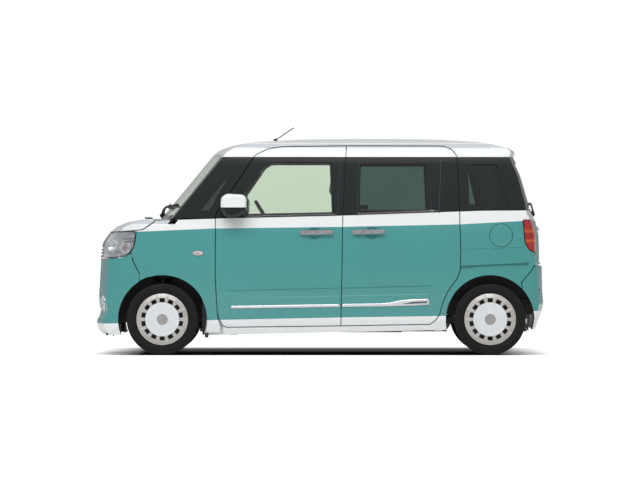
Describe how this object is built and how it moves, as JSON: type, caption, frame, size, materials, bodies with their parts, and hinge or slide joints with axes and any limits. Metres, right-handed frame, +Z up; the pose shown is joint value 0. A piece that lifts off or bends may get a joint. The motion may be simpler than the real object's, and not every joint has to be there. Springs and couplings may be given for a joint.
{
  "type": "tall-wagon kei car",
  "caption": "Tall two-tone light passenger wagon with hinged front doors, sliding rear doors, bonnet and top-hinged tailgate, standing on its wheels.",
  "frame": {"origin": "on the ground, at the middle of the length and the width", "axes": "+Z up, the car faces -X, its left side faces -Y"},
  "size_m": [3.3944, 1.735, 1.7198],
  "materials": {
    "paint_teal": "gloss metallic teal paint",
    "paint_white": "gloss white paint",
    "glass_clear": "green-tinted safety glass",
    "glass_dark": "dark privacy glass",
    "lens_clear": "clear lamp lens over a silver housing",
    "lens_red": "red lamp lens",
    "black_plastic": "grained black plastic",
    "tyre": "black rubber",
    "rim_steel": "black painted steel",
    "cover_silver": "silver painted plastic",
    "dark_metal": "black underbody coating",
    "cast_iron": "bare iron",
    "aluminium": "cast aluminium",
    "seat_fabric": "woven seat cloth"
  },
  "bodies": {
    "body": {"front_bumper": "paint_teal", "grille": "black_plastic", "headlamps": "lens_clear", "front_fenders": "paint_teal", "windscreen": "glass_clear", "cowl": "black_plastic", "roof": "paint_white", "side_frames": "paint_teal", "tail_lamps": "lens_red", "rear_bumper": "paint_teal", "tail_frame": "dark_metal", "sliding_doors": "paint_teal", "privacy_glass": "glass_dark", "vent_glass": "glass_clear", "floor_pan": "dark_metal", "wheel_houses": "black_plastic", "front_structure": "dark_metal", "front_subframe": "dark_metal", "rear_axle": "dark_metal", "engine": "aluminium", "fuel_tank": "black_plastic", "exhaust": "rim_steel", "dashboard": "black_plastic", "seats": "seat_fabric", "seat_frames": "dark_metal", "sliding_handles": "paint_teal", "antenna": "black_plastic"},
    "bonnet": {"bonnet": "paint_white"},
    "door_left": {"door_front_left": "paint_teal", "door_glass_left": "glass_clear", "door_handle_left": "paint_teal", "mirror_left": "paint_teal"},
    "door_right": {"door_front_right": "paint_teal", "door_glass_right": "glass_clear", "door_handle_right": "paint_teal", "mirror_right": "paint_teal"},
    "tailgate": {"tailgate": "paint_teal", "tailgate_glass": "glass_dark"},
    "fuel_lid": {"fuel_lid": "paint_teal"},
    "steering_wheel": {"steering_wheel": "black_plastic"},
    "knuckle_left": {"knuckle_left": "cast_iron"},
    "knuckle_right": {"knuckle_right": "cast_iron"},
    "wheel_front_left": {"tyre_front_left": "tyre", "rim_front_left": "rim_steel", "cover_front_left": "cover_silver"},
    "wheel_front_right": {"tyre_front_right": "tyre", "rim_front_right": "rim_steel", "cover_front_right": "cover_silver"},
    "wheel_rear_left": {"tyre_rear_left": "tyre", "rim_rear_left": "rim_steel", "cover_rear_left": "cover_silver"},
    "wheel_rear_right": {"tyre_rear_right": "tyre", "rim_rear_right": "rim_steel", "cover_rear_right": "cover_silver"}
  },
  "joints": [
    {"name": "steer_left", "type": "hinge", "parent": "body", "child": "knuckle_left", "pos_m": [-1.181, -0.582, 0.268], "axis": [0, 0.2079, 0.9781], "range_deg": [-35, 35]},
    {"name": "steer_right", "type": "hinge", "parent": "body", "child": "knuckle_right", "pos_m": [-1.181, 0.582, 0.268], "axis": [0, -0.2079, 0.9781], "range_deg": [-35, 35]},
    {"name": "steering_wheel_turn", "type": "hinge", "parent": "body", "child": "steering_wheel", "pos_m": [-0.399, 0.33, 1], "axis": [0.8572, 0, 0.515], "range_deg": [-490, 490]},
    {"name": "spin_front_left", "type": "hinge", "parent": "knuckle_left", "child": "wheel_front_left", "pos_m": [-1.181, -0.649, 0.268], "axis": [0, 1, 0], "continuous": true},
    {"name": "spin_front_right", "type": "hinge", "parent": "knuckle_right", "child": "wheel_front_right", "pos_m": [-1.181, 0.649, 0.268], "axis": [0, 1, 0], "continuous": true},
    {"name": "spin_rear_left", "type": "hinge", "parent": "body", "child": "wheel_rear_left", "pos_m": [1.274, -0.649, 0.268], "axis": [0, 1, 0], "continuous": true},
    {"name": "spin_rear_right", "type": "hinge", "parent": "body", "child": "wheel_rear_right", "pos_m": [1.274, 0.649, 0.268], "axis": [0, 1, 0], "continuous": true},
    {"name": "bonnet_hinge", "type": "hinge", "parent": "body", "child": "bonnet", "pos_m": [-1.222, 0, 1], "axis": [0, 1, 0], "range_deg": [0, 55]},
    {"name": "door_left_hinge", "type": "hinge", "parent": "body", "child": "door_left", "pos_m": [-0.758, -0.7225, 0.7], "axis": [0, 0, -1], "range_deg": [0, 68]},
    {"name": "door_right_hinge", "type": "hinge", "parent": "body", "child": "door_right", "pos_m": [-0.758, 0.7225, 0.7], "axis": [0, 0, 1], "range_deg": [0, 68]},
    {"name": "tailgate_hinge", "type": "hinge", "parent": "body", "child": "tailgate", "pos_m": [1.3975, 0, 1.559], "axis": [0, -1, 0], "range_deg": [0, 85]},
    {"name": "fuel_lid_hinge", "type": "hinge", "parent": "body", "child": "fuel_lid", "pos_m": [1.26925, -0.7292, 0.896], "axis": [0, 0, -1], "range_deg": [0, 100]}
  ],
  "couplings": [
    {"joint": "steer_right", "follows": "steer_left", "ratio": 1},
    {"joint": "steering_wheel_turn", "follows": "steer_left", "ratio": 14}
  ]
}
